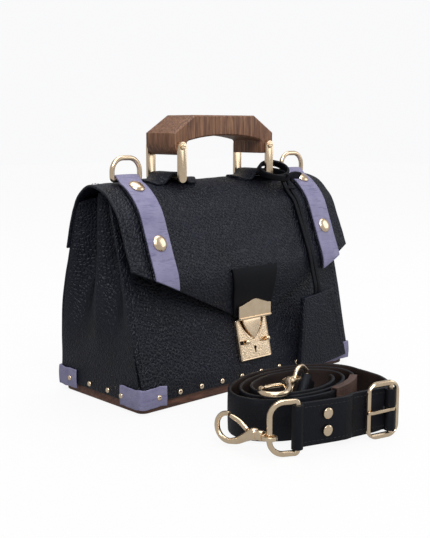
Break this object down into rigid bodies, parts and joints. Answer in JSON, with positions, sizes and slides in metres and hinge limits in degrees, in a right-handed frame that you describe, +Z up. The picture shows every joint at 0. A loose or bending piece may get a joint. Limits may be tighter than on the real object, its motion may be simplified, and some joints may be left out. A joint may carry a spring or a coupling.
{
  "type": "satchel handbag",
  "caption": "Small structured leather satchel: pointed flap with a sliding-catch lock, wooden base and swinging wooden handle, D-rings, hanging key case and a coiled shoulder strap.",
  "frame": {"origin": "centre of the base board underside", "axes": "+X to the right seen from the front, +Y towards the back, +Z up; the front with the lock faces -Y"},
  "size_m": [0.249, 0.2675, 0.225],
  "materials": {
    "walnut": "oiled, open grain",
    "leather": "pebbled, semi-matt black",
    "lavender_leather": "crackled lavender, semi-matt",
    "brown_leather": "smooth dark brown",
    "brass": "polished pale gold"
  },
  "bodies": {
    "shell": {"base_board": "walnut", "front_panel": "leather", "rear_panel": "leather", "gusset_left": "leather", "gusset_right": "leather", "corner_patch_front_left": "lavender_leather", "corner_patch_front_right": "lavender_leather", "corner_patch_rear_left": "lavender_leather", "corner_patch_rear_right": "lavender_leather", "nails_front": "brass", "nails_rear": "brass", "nails_left": "brass", "nails_right": "brass", "flap_rear": "leather", "lock_plate": "brass", "lock_back_plate": "brass"},
    "catch": {"catch_bar": "brass"},
    "flap": {"flap": "leather", "lock_tab": "leather", "hasp_plate": "brass", "hasp_tongue": "brass", "trim_backing_left": "leather", "trim_left": "lavender_leather", "handle_tab_left": "leather", "trim_backing_right": "leather", "trim_right": "lavender_leather", "handle_tab_right": "leather", "trim_rivet_left_upper": "brass", "trim_rivet_left_lower": "brass", "trim_rivet_right_upper": "brass", "trim_rivet_right_lower": "brass", "clochette_loop": "leather"},
    "d_ring_left": {"d_ring_left": "brass"},
    "d_ring_right": {"d_ring_right": "brass"},
    "bracket_left": {"handle_bracket_left": "brass"},
    "bracket_right": {"handle_bracket_right": "brass"},
    "handle": {"handle": "walnut", "handle_screw_left_front": "brass", "handle_screw_left_rear": "brass", "handle_screw_right_front": "brass", "handle_screw_right_rear": "brass"},
    "clochette": {"clochette_strap": "leather", "clochette_key": "brass"},
    "clochette_cover": {"clochette_cover": "leather"},
    "strap": {"strap_long": "leather", "strap_keeper": "brown_leather", "strap_short": "leather", "strap_rivet_upper": "brass", "strap_rivet_lower": "brass", "strap_chape": "leather"},
    "buckle_frame": {"buckle_frame": "brass"},
    "buckle_prong": {"buckle_prong": "brass"},
    "end_frame_1": {"end_frame_1": "brass"},
    "hook_eye_1": {"hook_eye_1": "brass"},
    "hook_1": {"hook_1": "brass"},
    "hook_gate_1": {"hook_gate_1": "brass"},
    "end_frame_2": {"end_frame_2": "brass"},
    "hook_eye_2": {"hook_eye_2": "brass"},
    "hook_2": {"hook_2": "brass"},
    "hook_gate_2": {"hook_gate_2": "brass"}
  },
  "joints": [
    {"name": "flap_open", "type": "hinge", "parent": "shell", "child": "flap", "pos_m": [0, 0.029, 0.15], "axis": [-1, 0, 0], "range_deg": [0, 120]},
    {"name": "bracket_left_swing", "type": "hinge", "parent": "flap", "child": "bracket_left", "pos_m": [-0.05, 0, 0.1752], "axis": [0, 1, 0], "range_deg": [-15, 15]},
    {"name": "handle_level", "type": "hinge", "parent": "bracket_left", "child": "handle", "pos_m": [-0.05, 0, 0.1997], "axis": [0, 1, 0], "range_deg": [-15, 15]},
    {"name": "bracket_right_swing", "type": "hinge", "parent": "flap", "child": "bracket_right", "pos_m": [0.05, 0, 0.1752], "axis": [0, 1, 0], "range_deg": [-15, 15]},
    {"name": "d_ring_left_turn", "type": "hinge", "parent": "flap", "child": "d_ring_left", "pos_m": [-0.095, -0.005, 0.1749], "axis": [1, 0, 0], "range_deg": [-70, 70]},
    {"name": "d_ring_right_turn", "type": "hinge", "parent": "flap", "child": "d_ring_right", "pos_m": [0.095, -0.005, 0.1749], "axis": [1, 0, 0], "range_deg": [-70, 70]},
    {"name": "clochette_swing", "type": "hinge", "parent": "flap", "child": "clochette", "pos_m": [0.07, -0.025, 0.163], "axis": [-1, 0, 0], "range_deg": [0, 60]},
    {"name": "cover_slide", "type": "slide", "parent": "clochette", "child": "clochette_cover", "axis": [-0.1197, 0, 0.9928], "range_m": [0, 0.006]},
    {"name": "catch_slide", "type": "slide", "parent": "shell", "child": "catch", "axis": [-1, 0, 0], "range_m": [0, 0.0055], "stiffness_N_per_m": 20},
    {"name": "strap_lift", "type": "slide", "parent": "shell", "child": "strap", "axis": [0, 0, 1], "range_m": [0, 0.08]},
    {"name": "end_frame_1_turn", "type": "hinge", "parent": "strap", "child": "end_frame_1", "pos_m": [-0.097, -0.189, 0.02], "axis": [0, 0, 1], "range_deg": [0, 40]},
    {"name": "hook_1_turn", "type": "hinge", "parent": "end_frame_1", "child": "hook_eye_1", "pos_m": [-0.11374, -0.1796, 0.0142], "axis": [0, 0, 1], "range_deg": [0, 45]},
    {"name": "hook_1_swivel", "type": "hinge", "parent": "hook_eye_1", "child": "hook_1", "pos_m": [-0.11374, -0.1796, 0.0142], "axis": [-0.1388, 0.9903, 0], "range_deg": [-90, 90]},
    {"name": "hook_1_gate", "type": "hinge", "parent": "hook_1", "child": "hook_gate_1", "pos_m": [-0.11666, -0.1588, 0.0178], "axis": [-0.9903, -0.1388, 0], "range_deg": [0, 20], "stiffness_Nm_per_rad": 0.002},
    {"name": "end_frame_2_turn", "type": "hinge", "parent": "strap", "child": "end_frame_2", "pos_m": [-0.042, -0.1434, 0.0215], "axis": [0.5536, 0.1764, 0.8139], "range_deg": [-6, 6]},
    {"name": "hook_2_turn", "type": "hinge", "parent": "end_frame_2", "child": "hook_eye_2", "pos_m": [-0.05451, -0.14738, 0.03616], "axis": [0, 0, 1], "range_deg": [-10, 10]},
    {"name": "hook_2_swivel", "type": "hinge", "parent": "hook_eye_2", "child": "hook_2", "pos_m": [-0.05451, -0.14738, 0.03616], "axis": [-0.9528, -0.3035, 0], "range_deg": [-6, 6]},
    {"name": "hook_2_gate", "type": "hinge", "parent": "hook_2", "child": "hook_gate_2", "pos_m": [-0.07561, -0.15033, 0.03616], "axis": [0, 0, 1], "range_deg": [0, 20], "stiffness_Nm_per_rad": 0.002},
    {"name": "buckle_turn", "type": "hinge", "parent": "strap", "child": "buckle_frame", "pos_m": [-0.02, -0.2066, 0.0206], "axis": [0, 0, 1], "range_deg": [0, 60]},
    {"name": "prong_turn", "type": "hinge", "parent": "buckle_frame", "child": "buckle_prong", "pos_m": [-0.02, -0.2066, 0.0206], "axis": [0, 0, 1], "range_deg": [0, 50]}
  ],
  "couplings": [
    {"joint": "handle_level", "follows": "bracket_left_swing", "ratio": -1},
    {"joint": "bracket_right_swing", "follows": "bracket_left_swing", "ratio": 1}
  ]
}
